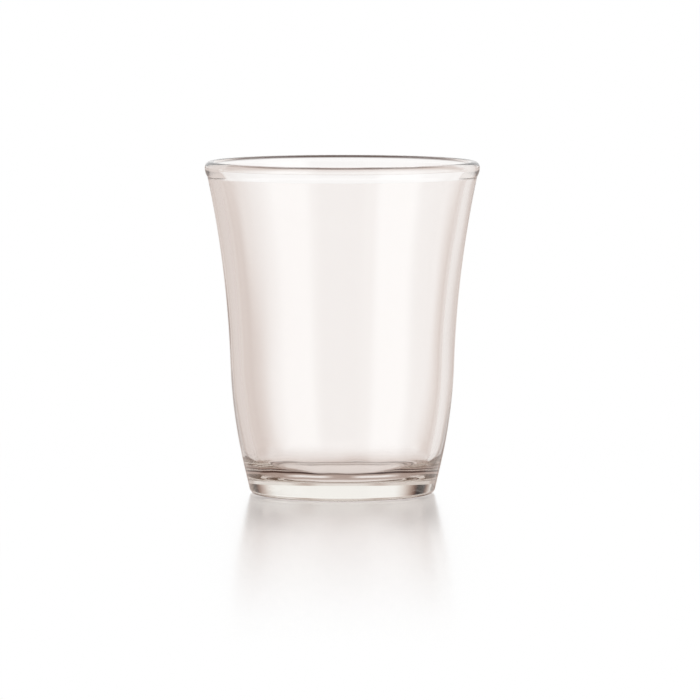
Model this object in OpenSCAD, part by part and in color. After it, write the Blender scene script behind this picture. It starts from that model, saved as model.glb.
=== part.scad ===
// Juice glass: one piece of clear pressed glass, turned about the Z axis.
// Millimetres. Z = 0 is the table, and the axis of the glass is the Z axis.

/* [Overall] */
// Height from the table to the top of the rim
glass_h = 89.4; // [80:0.1:105]

/* [Rim] */
// Outer diameter of the rim bead, the widest part of the glass
rim_d = 74; // [68:0.5:82]
// Radius of the bead's outer top edge
rim_corner = 1.7; // [1:0.1:2.6]
// Radius of the bead's outer side
rim_side = 4.5; // [3:0.5:12]
// Radius of the bead's inner edge
rim_inner = 1.8; // [1.6:0.1:3]
// How far the bead stands out past the wall at its lower edge
rim_lip = 0.7; // [0.4:0.1:1.2]
// Radius of the soft corner under the bead, outside
neck_round = 0.9; // [0.2:0.1:1.5]
// Radius of the soft corner under the bead, inside
lip_round = 6; // [2:0.5:8]

/* [Outside of the body] */
// Diameter of the foot at the table, before its edge is rounded
foot_d = 49.6; // [44:0.1:56]
// Slope of the foot's straight side, in degrees from upright
foot_slope = 13; // [8:0.1:16]
// Radius that rounds the lower edge of the foot
foot_round = 1.5; // [0.5:0.1:2.5]
// Height at which the straight side turns into the shoulder
shoulder_z = 7.5; // [4:0.5:16]
// Radius of the shoulder, which curves outwards
shoulder_r = 144; // [90:2:180]
// Slope of the wall at the waist, between the shoulder and the flare
waist_slope = 1.9; // [0.5:0.1:4]

/* [Inside] */
// Thickness of the base under the drink
base_t = 5; // [3:0.1:10]
// Thickness of the wall at the level of the inner floor
wall_low = 3.9; // [3:0.1:4.5]
// Thickness of the wall at the waist
wall_mid = 3; // [2.4:0.1:3.6]
// Thickness of the wall just under the bead
wall_top = 2.7; // [2:0.1:3]
// Radius of the round corner between the floor and the wall
well_round = 8; // [3:0.5:12]

/* [Underside] */
// Width of the flat ring that the glass stands on
ring_w = 3; // [1.5:0.1:8]
// Depth of the shallow hollow inside that ring, at its centre
hollow_h = 0.8; // [0.2:0.1:1.5]

/* [Hidden] */
// Largest gap between a curve and the short straight steps that draw it
curve_gap = 0.008;
// Steps round the glass
$fn = 180;

// Point at the distance r from c, in the direction a, in degrees from +R
function spot(c, r, a) = c + r * [cos(a), sin(a)];

// Point at the distance r from c, on the line to d
function toward(c, d, r) = c + (d - c) * (r / norm(d - c));

// Points of an arc about c, from p round to q by the short way, without q
function arc(c, p, q) =
    let (
        a = p - c,
        b = q - c,
        first = atan2(a[1], a[0]),
        turn = atan2(a[0] * b[1] - a[1] * b[0], a * b),
        n = max(2, ceil(abs(turn) / (2 * acos(1 - curve_gap / norm(a)))))
    )
    [for (i = [0:n - 1]) spot(c, norm(a), first + turn * i / n)];

// Radius of the arc that leaves p at the given slope and passes through q.
// It is above zero where the arc bends outwards on its way up, and below zero
// where it bends inwards. Its centre is spot(p, radius, -slope) in both cases.
function arc_radius(p, q, slope) =
    let (chord = q - p)
    chord * chord / (2 * chord * spot([0, 0], 1, -slope));

// Lower one of the two points at the distance p from c and q from d
function corner_centre(c, p, d, q) =
    let (
        gap = norm(d - c),
        along = (p * p - q * q + gap * gap) / (2 * gap),
        across = sqrt(p * p - along * along),
        way = (d - c) / gap
    )
    c + along * way + across * sign(way[0]) * [way[1], -way[0]];

// The bead: its outer side, its outer top edge and its inner edge
rim_widest = [rim_d / 2, glass_h - rim_corner];
rim_top = [rim_d / 2 - rim_corner, glass_h];
rim_corner_c = rim_widest - [rim_corner, 0];
rim_side_c = rim_widest - [rim_side, 0];
rim_inner_c = rim_top - [0, rim_inner];
neck = spot(rim_side_c, rim_side, -acos(1 - rim_lip / rim_side));

// Outside, from the foot up: straight side, shoulder and flare
side_top = [foot_d / 2 + shoulder_z * tan(foot_slope), shoulder_z];
shoulder_c = spot(side_top, shoulder_r, 180 - foot_slope);
waist = spot(shoulder_c, shoulder_r, -waist_slope);
flare_r = arc_radius(waist, neck, waist_slope);
flare_c = spot(waist, flare_r, -waist_slope);

// The foot's lower edge, between the table and the straight side
foot_c = [foot_d / 2 - foot_round * tan(45 - foot_slope / 2), foot_round];
foot_side = spot(foot_c, foot_round, -foot_slope);

// Inside: one arc from the floor to the waist and one from there to the neck
well_edge = [foot_d / 2 + base_t * tan(foot_slope) - wall_low, base_t];
well_waist = spot(waist, wall_mid, 180 - waist_slope);
well_neck = neck - [wall_top, 0];
well_r = -arc_radius(well_waist, well_edge, waist_slope);
well_c = spot(well_waist, well_r, 180 - waist_slope);
well_flare_r = arc_radius(well_waist, well_neck, waist_slope);
well_flare_c = spot(well_waist, well_flare_r, -waist_slope);

// The round corner of the floor touches the floor and the lower arc.
floor_z = base_t + well_round;
floor_c = [
    well_c[0] + sign(well_r) * sqrt(pow(well_r - well_round, 2) - pow(floor_z - well_c[1], 2)),
    floor_z
];
floor_side = toward(floor_c, well_c, -sign(well_r) * well_round);

// The soft corners under the bead touch the bead and the flare.
neck_c = corner_centre(rim_side_c, rim_side + neck_round, flare_c, abs(flare_r - neck_round));
neck_low = toward(neck_c, flare_c, -sign(flare_r) * neck_round);
neck_top = toward(neck_c, rim_side_c, neck_round);
lip_c = corner_centre(rim_inner_c, rim_inner + lip_round, well_flare_c, abs(well_flare_r + lip_round));
lip_top = toward(lip_c, rim_inner_c, lip_round);
lip_low = toward(lip_c, well_flare_c, sign(well_flare_r) * lip_round);

// The hollow underneath is a shallow dome.
ring_in = [foot_c[0] - ring_w, 0];
hollow_r = (pow(ring_in[0], 2) + pow(hollow_h, 2)) / (2 * hollow_h);
hollow_top = [0, hollow_h];
hollow_c = hollow_top - [0, hollow_r];

outside = concat(
    arc(foot_c, [foot_c[0], 0], foot_side),
    [foot_side],
    arc(shoulder_c, side_top, waist),
    arc(flare_c, waist, neck_low),
    arc(neck_c, neck_low, neck_top)
);

rim = concat(
    arc(rim_side_c, neck_top, rim_widest),
    arc(rim_corner_c, rim_widest, rim_top),
    arc(rim_inner_c, rim_top, lip_top)
);

inside = concat(
    arc(lip_c, lip_top, lip_low),
    arc(well_flare_c, lip_low, well_waist),
    arc(well_c, well_waist, floor_side),
    arc(floor_c, floor_side, [floor_c[0], base_t]),
    [[floor_c[0], base_t], [0, base_t]]
);

underside = concat(arc(hollow_c, hollow_top, ring_in), [ring_in]);

module tumbler() {
    color([0.93, 0.92, 0.91, 0.4])
        rotate_extrude()
            polygon(concat(outside, rim, inside, underside));
}

tumbler();
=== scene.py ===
import math
import bpy
import numpy as np
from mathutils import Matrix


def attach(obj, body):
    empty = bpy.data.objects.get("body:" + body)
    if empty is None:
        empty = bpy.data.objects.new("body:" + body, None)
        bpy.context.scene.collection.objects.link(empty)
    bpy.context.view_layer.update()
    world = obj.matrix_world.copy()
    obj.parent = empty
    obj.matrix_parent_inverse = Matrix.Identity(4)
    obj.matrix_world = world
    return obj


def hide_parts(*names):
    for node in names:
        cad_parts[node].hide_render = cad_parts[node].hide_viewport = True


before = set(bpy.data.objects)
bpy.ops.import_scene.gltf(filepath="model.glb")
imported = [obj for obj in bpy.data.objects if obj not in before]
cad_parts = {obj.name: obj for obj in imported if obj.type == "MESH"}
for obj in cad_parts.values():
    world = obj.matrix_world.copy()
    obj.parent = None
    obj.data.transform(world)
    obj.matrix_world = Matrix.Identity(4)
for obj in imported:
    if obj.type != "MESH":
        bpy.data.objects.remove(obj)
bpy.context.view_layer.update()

mm = 0.001

# the camera stands 1.56 m away and a little above the rim, and looks slightly down
view = dict(
    distance=1.560, height=0.1641, side=0.00207,
    tilt=4.604, focal=298.83, sensor=36.0, farthest=50.0,
)

# the glass: all sizes in millimetres, slopes in degrees from upright
glass = dict(
    height=89.4, rimWidth=73.97, rimCorner=1.7, rimSide=4.5, rimInner=1.8, rimLip=0.7,
    neckRound=0.9, lipRound=6.0, footWidth=49.6, footSlope=13.0, footRound=1.5,
    shoulderHeight=7.5, shoulderRadius=144.0, waistSlope=1.9, baseThickness=5.0,
    wallLow=3.9, wallMid=3.0, wallTop=2.7, wellRound=8.0, ringWidth=3.0, hollowDepth=0.8,
    # steps round the glass, and along each arc of its section
    sectors=400,
    steps=dict(
        hollow=12, foot=14, shoulder=24, flare=40, neck=6, side=8, corner=14, inner=24,
        lip=10, wellFlare=40, well=24, wellRound=24, floor=9,
    ),
    # ripples left by pressing, inside only: faint on the wall, stronger in the well's corner, none in mid
    # floor; they fade out over the ease below the top, and each of their waves is depth, waves round,
    # waves per metre of height, phase
    wallRipples=dict(
        top=82.0, ease=14.0,
        waves=((0.020, 5, 9.0, 0.4), (0.014, 8, -14.0, 2.1), (0.010, 13, 6.0, 4.4)),
    ),
    cornerRipples=dict(
        top=13.0, ease=6.0,
        waves=((0.05, 5, 30.0, 0.9), (0.05, 9, -45.0, 0.2), (0.04, 16, 60.0, 3.0)),
    ),
    rippleCentre=14.0,
)


def spot(centre, radius, degrees):
    # the point at that distance and direction from the centre
    turn = np.radians(degrees)
    return np.stack([centre[0] + radius * np.cos(turn), centre[1] + radius * np.sin(turn)], -1)


def toward(start, goal, reach):
    # the point at that reach from the start, on the line to the goal
    return start + (goal - start) * (reach / math.dist(start, goal))


def arc(centre, start, end, count):
    # points about the centre from the start round to the end, by the short way, without the last
    a, b = start - centre, end - centre
    first = math.degrees(math.atan2(a[1], a[0]))
    turn = math.degrees(math.atan2(a[0] * b[1] - a[1] * b[0], a @ b))
    return spot(centre, math.hypot(*a), first + turn * np.arange(count) / count)


def arcRadius(start, end, slope):
    # radius = chord squared / (2 chord . normal), for an arc that leaves start at the slope
    chord = end - start
    return chord @ chord / (2 * chord @ spot((0, 0), 1, -slope))


def cornerCentre(a, ra, b, rb):
    # the lower crossing of a circle about a and a circle about b
    gap = math.dist(a, b)
    along = (ra * ra - rb * rb + gap * gap) / (2 * gap)
    across = math.sqrt(ra * ra - along * along)
    way = (b - a) / gap
    return a + along * way + math.copysign(across, way[0]) * np.array([way[1], -way[0]])


def glassSection(g):
    # the section of the glass as arcs, from the middle of the underside round to the inner floor
    waistSlope = g["waistSlope"]
    widest = np.array([g["rimWidth"] / 2, g["height"] - g["rimCorner"]])
    crest = widest + [-g["rimCorner"], g["rimCorner"]]
    cornerC = widest - [g["rimCorner"], 0]
    sideC = widest - [g["rimSide"], 0]
    innerC = crest - [0, g["rimInner"]]
    neck = spot(sideC, g["rimSide"], -math.degrees(math.acos(1 - g["rimLip"] / g["rimSide"])))
    rise = math.tan(math.radians(g["footSlope"]))
    sideTop = np.array([g["footWidth"] / 2 + g["shoulderHeight"] * rise, g["shoulderHeight"]])
    shoulderC = spot(sideTop, g["shoulderRadius"], 180 - g["footSlope"])
    waist = spot(shoulderC, g["shoulderRadius"], -waistSlope)
    flareR = arcRadius(waist, neck, waistSlope)
    flareC = spot(waist, flareR, -waistSlope)
    neckC = cornerCentre(sideC, g["rimSide"] + g["neckRound"], flareC, abs(flareR - g["neckRound"]))
    footC = np.array([
        g["footWidth"] / 2 - g["footRound"] * math.tan(math.radians(45 - g["footSlope"] / 2)),
        g["footRound"],
    ])
    floorZ, wellRound = g["baseThickness"], g["wellRound"]
    wellEdge = np.array([g["footWidth"] / 2 + floorZ * rise - g["wallLow"], floorZ])
    wellWaist = spot(waist, g["wallMid"], 180 - waistSlope)
    wellNeck = neck - [g["wallTop"], 0]
    wellR = -arcRadius(wellWaist, wellEdge, waistSlope)
    wellC = spot(wellWaist, wellR, 180 - waistSlope)
    wellFlareR = arcRadius(wellWaist, wellNeck, waistSlope)
    wellFlareC = spot(wellWaist, wellFlareR, -waistSlope)
    reach = math.sqrt((wellR - wellRound) ** 2 - (floorZ + wellRound - wellC[1]) ** 2)
    floorC = np.array([wellC[0] + reach, floorZ + wellRound])
    lipC = cornerCentre(innerC, g["rimInner"] + g["lipRound"], wellFlareC, wellFlareR + g["lipRound"])
    ringIn = np.array([footC[0] - g["ringWidth"], 0])
    hollowTop = np.array([0, g["hollowDepth"]])
    hollowR = (ringIn[0] ** 2 + hollowTop[1] ** 2) / (2 * hollowTop[1])
    neckLow = toward(neckC, flareC, -g["neckRound"])
    neckTop = toward(neckC, sideC, g["neckRound"])
    lipTop = toward(lipC, innerC, g["lipRound"])
    lipLow = toward(lipC, wellFlareC, g["lipRound"])
    floorSide = toward(wellC, floorC, wellR)
    footSide = spot(footC, g["footRound"], -g["footSlope"])
    steps = g["steps"]
    return np.concatenate([
        arc(hollowTop - [0, hollowR], hollowTop, ringIn, steps["hollow"]),
        [ringIn],
        arc(footC, footC - [0, g["footRound"]], footSide, steps["foot"]),
        [footSide],
        arc(shoulderC, sideTop, waist, steps["shoulder"]),
        arc(flareC, waist, neckLow, steps["flare"]),
        arc(neckC, neckLow, neckTop, steps["neck"]),
        arc(sideC, neckTop, widest, steps["side"]),
        arc(cornerC, widest, crest, steps["corner"]),
        arc(innerC, crest, lipTop, steps["inner"]),
        arc(lipC, lipTop, lipLow, steps["lip"]),
        arc(wellFlareC, lipLow, wellWaist, steps["wellFlare"]),
        arc(wellC, wellWaist, floorSide, steps["well"]),
        arc(floorC, floorSide, floorC - [0, wellRound], steps["wellRound"]),
        np.stack([np.linspace(floorC[0], 0, steps["floor"]), np.full(steps["floor"], floorZ)], -1),
    ])


def turned(name, section, g):
    # x = r cos t, y = r sin t, z = z over a grid of section points and turns t; inside, each family of
    # ripples adds weight * sum of depth * cos(waves * t + 2 pi * slant * z + phase) to r
    sectors = g["sectors"]
    rings = section[1:-1] * mm
    turns = np.linspace(0, 2 * math.pi, sectors, endpoint=False)
    radius, height = rings[:, :1], rings[:, 1:]
    within = np.arange(len(rings))[:, None] > np.argmax(height)
    outward = within * np.clip(radius / (g["rippleCentre"] * mm), 0, 1) ** 2
    for family in (g["wallRipples"], g["cornerRipples"]):
        weight = outward * np.clip((family["top"] * mm - height) / (family["ease"] * mm), 0, 1)
        for depth, waves, slant, phase in family["waves"]:
            swing = np.cos(waves * turns + 2 * math.pi * slant * height + phase)
            radius = radius + weight * depth * mm * swing
    x = radius * np.cos(turns)
    y = radius * np.sin(turns)
    z = np.broadcast_to(height, x.shape)
    grid = np.stack([x, y, z], -1).reshape(-1, 3)
    poles = np.array([[0, 0, section[0, 1]], [0, 0, section[-1, 1]]]) * mm
    points = np.concatenate([grid, poles])
    count = len(rings)
    index = np.arange(count * sectors).reshape(count, sectors)
    beside = np.roll(index, -1, axis=1)
    quads = np.stack([index[:-1], beside[:-1], beside[1:], index[1:]], -1).reshape(-1, 4)
    start = np.full(sectors, len(grid))
    end = start + 1
    caps = np.concatenate([
        np.stack([start, beside[0], index[0]], -1),
        np.stack([index[-1], beside[-1], end], -1),
    ])
    mesh = bpy.data.meshes.new(name)
    mesh.from_pydata(points.tolist(), [], quads.tolist() + caps.tolist())
    mesh.validate()
    mesh.shade_smooth()
    piece = bpy.data.objects.new(name, mesh)
    bpy.context.scene.collection.objects.link(piece)
    return piece


class Socket:
    # a socket of a shader tree, with arithmetic on it
    def __init__(self, tree, out):
        self.tree, self.out = tree, out

    def maths(self, operation, *values):
        node = self.tree.nodes.new("ShaderNodeMath")
        node.operation = operation
        for slot, value in zip(node.inputs, values):
            if isinstance(value, Socket):
                self.tree.links.new(value.out, slot)
            else:
                slot.default_value = value
        return Socket(self.tree, node.outputs[0])

    def __add__(self, other): return self.maths("ADD", self, other)
    def __radd__(self, other): return self.maths("ADD", other, self)
    def __sub__(self, other): return self.maths("SUBTRACT", self, other)
    def __rsub__(self, other): return self.maths("SUBTRACT", other, self)
    def __mul__(self, other): return self.maths("MULTIPLY", self, other)
    def __rmul__(self, other): return self.maths("MULTIPLY", other, self)
    def __truediv__(self, other): return self.maths("DIVIDE", self, other)
    def __neg__(self): return self.maths("MULTIPLY", self, -1.0)

    def power(self, exponent): return self.maths("POWER", self, exponent)

    def rise(self, low, high):
        # 0 below low, 1 above high, smooth between
        node = addNode(
            self.tree, "ShaderNodeMapRange", dict(interpolation_type="SMOOTHSTEP"),
            Value=self, From_Min=low, From_Max=high,
        )
        return Socket(self.tree, node.outputs[0])

    def plateau(self, middle, half, soft):
        # 1 within half of the middle, 0 beyond half + soft, smooth between
        return 1 - self.maths("ABSOLUTE", self - middle).rise(half, half + soft)


def addNode(tree, kind, settings=None, **values):
    node = tree.nodes.new(kind)
    for key, value in (settings or {}).items():
        setattr(node, key, value)
    for key, value in values.items():
        slot = node.inputs[key.replace("_", " ")]
        if isinstance(value, Socket):
            tree.links.new(value.out, slot)
        else:
            slot.default_value = value
    return node


# the glass itself: a faint warm tint at the surface, and a little light lost on long ways through it,
# upright waves from the mould a few micrometres deep, and a ring that is worn dull where it stands
clear = dict(
    tint=(0.999, 0.985, 0.979), ior=1.52, loss=6.0, lossColour=(0.60, 0.58, 0.42),
    waveScale=130.0, waveStretch=(1.0, 1.0, 0.25), waveDetail=1.0, waveDepth=0.000012,
    worn=0.25, wornHeight=(0.00002, 0.0002),
)


def glassMaterial():
    # light kept over a length = exp(-loss * (1 - lossColour) * length);
    # height of the waves = depth * noise(scale * stretch * place);
    # roughness = worn at the lower worn height, falling to 0 at the upper one
    g = clear
    material = bpy.data.materials.new("clearGlass")
    material.use_nodes = True
    tree = material.node_tree
    tree.nodes.clear()
    shader = addNode(
        tree, "ShaderNodeBsdfPrincipled",
        Base_Color=(*g["tint"], 1), IOR=g["ior"], Transmission_Weight=1.0,
    )
    where = Socket(tree, addNode(tree, "ShaderNodeTexCoord").outputs["Object"])
    parts = addNode(tree, "ShaderNodeSeparateXYZ", Vector=where)
    dull = g["worn"] * (1 - Socket(tree, parts.outputs["Z"]).rise(*g["wornHeight"]))
    tree.links.new(dull.out, shader.inputs["Roughness"])
    drawn = addNode(tree, "ShaderNodeMapping", Vector=where, Scale=g["waveStretch"])
    waves = addNode(
        tree, "ShaderNodeTexNoise",
        Vector=Socket(tree, drawn.outputs[0]), Scale=g["waveScale"], Detail=g["waveDetail"],
    )
    bump = addNode(
        tree, "ShaderNodeBump",
        Height=Socket(tree, waves.outputs[0]), Strength=1.0, Distance=g["waveDepth"],
    )
    tree.links.new(bump.outputs[0], shader.inputs["Normal"])
    inside = addNode(tree, "ShaderNodeVolumeAbsorption", Color=(*g["lossColour"], 1), Density=g["loss"])
    out = addNode(tree, "ShaderNodeOutputMaterial")
    tree.links.new(shader.outputs[0], out.inputs["Surface"])
    tree.links.new(inside.outputs[0], out.inputs["Volume"])
    return material


tumbler = turned("juice_glass", glassSection(glass), glass)
tumbler.data.materials.append(glassMaterial())
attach(tumbler, "root")
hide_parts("tumbler")
print("glass", len(tumbler.data.vertices), "points")


# the studio round the glass, with turns in degrees from the back, clockwise seen from above, and heights of
# rays in degrees; a pair is where a change starts and ends, a triple is middle, half width and soft edge
studio = dict(
    floorSize=6.0, mirror=0.64, mirrorRoughness=0.15, mirrorStart=0.03, mirrorEnd=0.33,
    warmth=0.24, coolth=0.12,
    # seen straight through the glass: eight white panels, and greyer gaps between them
    panelPitch=45, panelTurn=2.5, panelHalf=5.2, panelSoft=11.2, gapLevel=0.64,
    # above the horizon: white, but for a dark card on either side
    horizon=(-1, 3), leftCard=(-47.8, 3.8, 20.3), rightCard=(70.9, 8, 29.5),
    # rays through both walls have passed the surface of the glass three times or more
    bothWalls=(2.4, 2.6),
    # they meet a floor with painted shade where they come down steeply, and darker painted shade where
    # they are steeper still, by the facing (0 straight down, 1 level), with other limits for rays from
    # further off, in metres
    steep=(0.24, 0.87), nearFloor=0.59, deep=(0.25, 0.33), deepFloor=0.05,
    further=(0.015, 0.035), furtherDeep=(0.34, 0.52),
    # and so do steep rays that leave the rim, above this height in metres
    rim=(0.0845, 0.0855), rimSteep=(0.36, 0.66), rimFloor=0.03,
    # the floor under the glass, by the distance from the axis in metres: painted shade where the base is
    # thick, a painted contact shadow where the ring touches it, and a painted glint of the light that the
    # foot gathers inside the ring, left and right
    foot=(0.0242, 0.0248), openFloor=0.69, shade=(0.0155, 0.0175), shadedFloor=0.31,
    contactShadow=(0.0234, 0.0007, 0.0005), contactShadowFloor=0.02,
    glint=(0.0200, 0.0006, 0.0010), glintAside=(0.46, 0.16, 0.22), glintFloor=0.80,
    # the room that the glass mirrors, with its ceiling and its floor
    room=0.356, ceiling=0.88, ceilingStart=12.6, ceilingEnd=53,
    floorBack=0.237, floorFront=1.75, frontStart=59, frontEnd=89, floorStart=27.8, floorEnd=35.9,
    under=0.44, underStart=26.5, underEnd=57,
    # what is left of the light after a few mirrorings, and after many
    few=(2.4, 2.6), afterFew=0.82, many=(8.4, 9.4), afterMany=0.25,
    # the longest paths of light that are followed
    bounces=64, clearBounces=24,
)
# what is lighter than that room: middle, half width, soft edge, and level above the room
lights = dict(
    backdrop=(0, 7.3, 10.4, 0.44), leftWall=(-38.5, 15.6, 10.9, 0.32), rightWall=(41.6, 13.8, 15.8, 0.50),
    window=(85.5, 13.7, 10.8, 0.31), leftBox=(-129.2, 24.7, 8.1, 0.30), rightBox=(125.6, 15.5, 11.5, 0.90),
)


def mix(factor, first, second):
    # first where the factor is 0, second where it is 1
    return first + (second - first) * factor


def warm(level):
    # a grey of that level, browner the darker it is:
    # red = level * level^-warmth, blue = level * level^coolth
    dark = level.maths("MINIMUM", level, 1)
    red = level * dark.power(-studio["warmth"])
    blue = level * dark.power(studio["coolth"])
    colour = addNode(level.tree, "ShaderNodeCombineColor", Red=red, Green=level, Blue=blue)
    return Socket(level.tree, colour.outputs[0])


def leftOver(path):
    # share of the light left = afterFew from 3 mirrorings on * afterMany from 10 on
    mirrorings = Socket(path.id_data, path.outputs["Glossy Depth"])
    few = mix(mirrorings.rise(*studio["few"]), 1, studio["afterFew"])
    return few * mix(mirrorings.rise(*studio["many"]), 1, studio["afterMany"])


def floorMaterial():
    # the camera sees white with a blurred mirror image that fades away from the glass; other rays pass on
    # to the studio, but for steep ones through both walls or out of the rim, and ones that come down under
    # the foot; height of the point that a ray left = its length * (1 - facing);
    # level = painted shade of the near, deep or rim floor, or under the foot (open, painted shade, painted
    # contact shadow or painted glint) * the light left
    s = studio
    material = bpy.data.materials.new("paleFloor")
    material.use_nodes = True
    tree = material.node_tree
    tree.nodes.clear()
    where = Socket(tree, addNode(tree, "ShaderNodeTexCoord").outputs["Object"])
    fromAxis = addNode(tree, "ShaderNodeVectorMath", dict(operation="LENGTH"), Vector=where)
    reach = Socket(tree, fromAxis.outputs["Value"])
    mirror = s["mirror"] * (1 - reach.rise(s["mirrorStart"], s["mirrorEnd"]))
    plain = addNode(tree, "ShaderNodeEmission", Color=(1, 1, 1, 1), Strength=1.0)
    gloss = addNode(tree, "ShaderNodeBsdfGlossy", Color=(1, 1, 1, 1), Roughness=s["mirrorRoughness"])
    white = addNode(tree, "ShaderNodeMixShader", Fac=mirror)
    tree.links.new(plain.outputs[0], white.inputs[1])
    tree.links.new(gloss.outputs[0], white.inputs[2])
    path = addNode(tree, "ShaderNodeLightPath")
    bounced = Socket(tree, path.outputs["Glossy Depth"])
    bounced = bounced.maths("MINIMUM", bounced, 1)
    facing = Socket(tree, addNode(tree, "ShaderNodeLayerWeight", Blend=0.5).outputs["Facing"])
    length = Socket(tree, path.outputs["Ray Length"])
    bothWalls = Socket(tree, path.outputs["Transmission Depth"]).rise(*s["bothWalls"])
    # painted shade on the floor where steep rays come down through both walls or out of the rim
    rim = (length * (1 - facing)).rise(*s["rim"]) * (1 - bothWalls)
    steep = 1 - mix(rim, facing.rise(*s["steep"]), facing.rise(*s["rimSteep"]))
    steep = steep * (bothWalls + rim) * (1 - bounced)
    deep = 1 - mix(length.rise(*s["further"]), facing.rise(*s["deep"]), facing.rise(*s["furtherDeep"]))
    level = mix(rim, mix(deep, s["nearFloor"], s["deepFloor"]), s["rimFloor"])

    under = (1 - reach.rise(*s["foot"])) * bounced.maths("MAXIMUM", bounced, bothWalls)
    x = Socket(tree, addNode(tree, "ShaderNodeSeparateXYZ", Vector=where).outputs["X"])
    aside = x.maths("ABSOLUTE", x) / reach
    # painted shade, a painted contact shadow and a painted glint on the floor under the foot, by the
    # distance from the axis
    below = mix(reach.rise(*s["shade"]), s["openFloor"], s["shadedFloor"])
    below = mix(reach.plateau(*s["contactShadow"]), below, s["contactShadowFloor"])
    below = mix(reach.plateau(*s["glint"]) * aside.plateau(*s["glintAside"]), below, s["glintFloor"])
    level = mix(under, level, below * leftOver(path))
    steep = steep.maths("MAXIMUM", steep, under)
    # the painted shade, contact shadow and glint, shown as an emission of that level
    dim = addNode(tree, "ShaderNodeEmission", Color=warm(level))
    through = addNode(tree, "ShaderNodeBsdfTransparent")
    other = addNode(tree, "ShaderNodeMixShader", Fac=steep)
    tree.links.new(through.outputs[0], other.inputs[1])
    tree.links.new(dim.outputs[0], other.inputs[2])
    seen = addNode(tree, "ShaderNodeMixShader", Fac=Socket(tree, path.outputs["Is Camera Ray"]))
    tree.links.new(other.outputs[0], seen.inputs[1])
    tree.links.new(white.outputs[0], seen.inputs[2])
    out = addNode(tree, "ShaderNodeOutputMaterial")
    tree.links.new(seen.outputs[0], out.inputs["Surface"])
    return material


floorMesh = bpy.data.meshes.new("floor")
half = studio["floorSize"] / 2
floorMesh.from_pydata(
    [(-half, -half, 0), (half, -half, 0), (half, half, 0), (-half, half, 0)], [], [(0, 1, 2, 3)]
)
floor = bpy.data.objects.new("floor", floorMesh)
bpy.context.scene.collection.objects.link(floor)
floorMesh.materials.append(floorMaterial())


def studioWorld():
    s = studio
    world = bpy.data.worlds.new("studio")
    world.use_nodes = True
    tree = world.node_tree
    tree.nodes.clear()
    where = addNode(tree, "ShaderNodeTexCoord")
    parts = addNode(tree, "ShaderNodeSeparateXYZ", Vector=Socket(tree, where.outputs["Generated"]))
    x, y, z = (Socket(tree, out) for out in parts.outputs)
    side = x.maths("ARCTAN2", x, y) * (180 / math.pi)
    up = z.maths("ARCSINE", z) * (180 / math.pi)
    away = side.maths("ABSOLUTE", side)
    above = up.rise(*s["horizon"])

    # straight through: level = the panels below the horizon, white less two cards above it
    fromPanel = side.maths("PINGPONG", side - s["panelTurn"], s["panelPitch"] / 2)
    panels = mix(fromPanel.plateau(0, s["panelHalf"], s["panelSoft"]), s["gapLevel"], 1)
    cards = side.plateau(*s["leftCard"]) + side.plateau(*s["rightCard"])
    behind = mix(above, panels, 1 - cards)

    # mirrored: level = the room + its lights, with the ceiling over them and the floor under them
    mirrored = s["room"]
    for middle, half, soft, level in lights.values():
        mirrored = side.plateau(middle, half, soft) * level + mirrored
    down = -up
    lit = mix(away.rise(s["frontStart"], s["frontEnd"]), s["floorBack"], s["floorFront"])
    lit = mix(down.rise(s["underStart"], s["underEnd"]), lit, s["under"])
    mirrored = mix(down.rise(s["floorStart"], s["floorEnd"]), mirrored, lit)
    mirrored = mix(up.rise(s["ceilingStart"], s["ceilingEnd"]), mirrored, s["ceiling"])

    path = addNode(tree, "ShaderNodeLightPath")
    through = Socket(tree, path.outputs["Transmission Depth"])
    through = through.maths("MINIMUM", through, 1)
    bounced = Socket(tree, path.outputs["Glossy Depth"])
    bounced = bounced.maths("MINIMUM", bounced, 1)
    # level = white, or what is behind the glass, or mirrored in it; mirrored from outside, white above
    level = mix(bounced, mix(through, 1, behind), mirrored * leftOver(path))
    level = mix(bounced * (1 - through) * above, level, 1)
    background = addNode(tree, "ShaderNodeBackground", Color=warm(level), Strength=1.0)
    out = addNode(tree, "ShaderNodeOutputWorld")
    tree.links.new(background.outputs[0], out.inputs["Surface"])
    return world


bpy.context.scene.world = studioWorld()

cameraData = bpy.data.cameras.new("camera")
cameraData.lens = view["focal"]
cameraData.sensor_fit = "HORIZONTAL"
cameraData.sensor_width = view["sensor"]
cameraData.clip_end = view["farthest"]
camera = bpy.data.objects.new("camera", cameraData)
camera.location = (view["side"], -view["distance"], view["height"])
camera.rotation_euler = (math.radians(90 - view["tilt"]), 0, 0)
bpy.context.scene.collection.objects.link(camera)
bpy.context.scene.camera = camera

bpy.context.scene.view_settings.view_transform = "Standard"
cycles = bpy.context.scene.cycles
cycles.max_bounces = cycles.transmission_bounces = cycles.glossy_bounces = studio["bounces"]
cycles.transparent_max_bounces = studio["clearBounces"]
print("studio ready")
